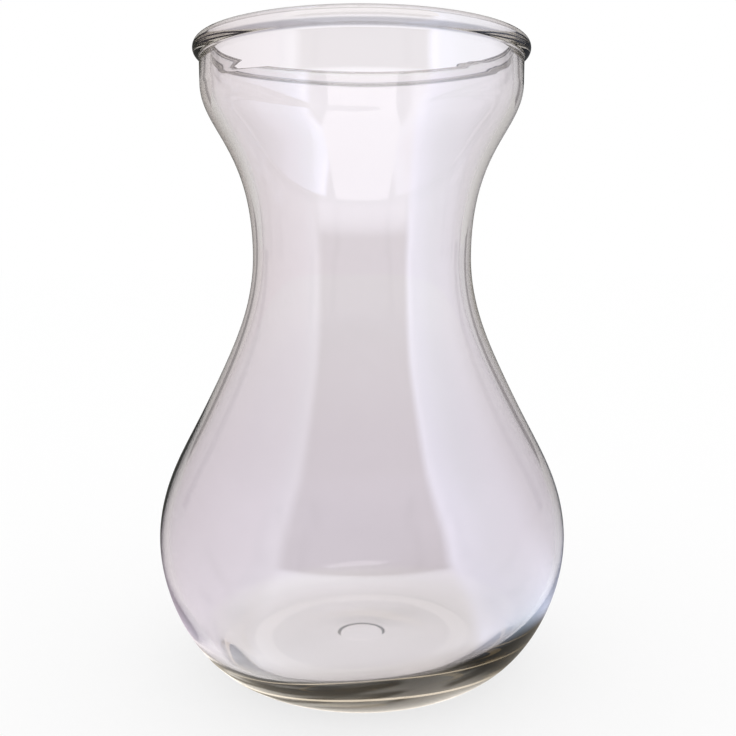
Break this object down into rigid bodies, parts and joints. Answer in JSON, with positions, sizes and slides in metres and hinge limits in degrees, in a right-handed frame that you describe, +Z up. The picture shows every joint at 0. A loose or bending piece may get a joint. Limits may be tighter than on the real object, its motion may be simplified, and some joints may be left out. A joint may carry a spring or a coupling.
{
  "type": "hyacinth forcing vase",
  "caption": "Clear glass hyacinth forcing vase: squat round belly for water and roots, narrow waist, and a flared cup with a beaded rim that holds a flower bulb.",
  "frame": {"origin": "centre of the foot ring, on the plane that the vase stands on", "axes": "+Z up along the vase's axis, out of its mouth; the vase is round, so X and Y are alike"},
  "size_m": [0.096, 0.096, 0.145],
  "materials": {
    "glass": "polished"
  },
  "bodies": {
    "root": {"glass_vase": "glass"}
  },
  "joints": []
}
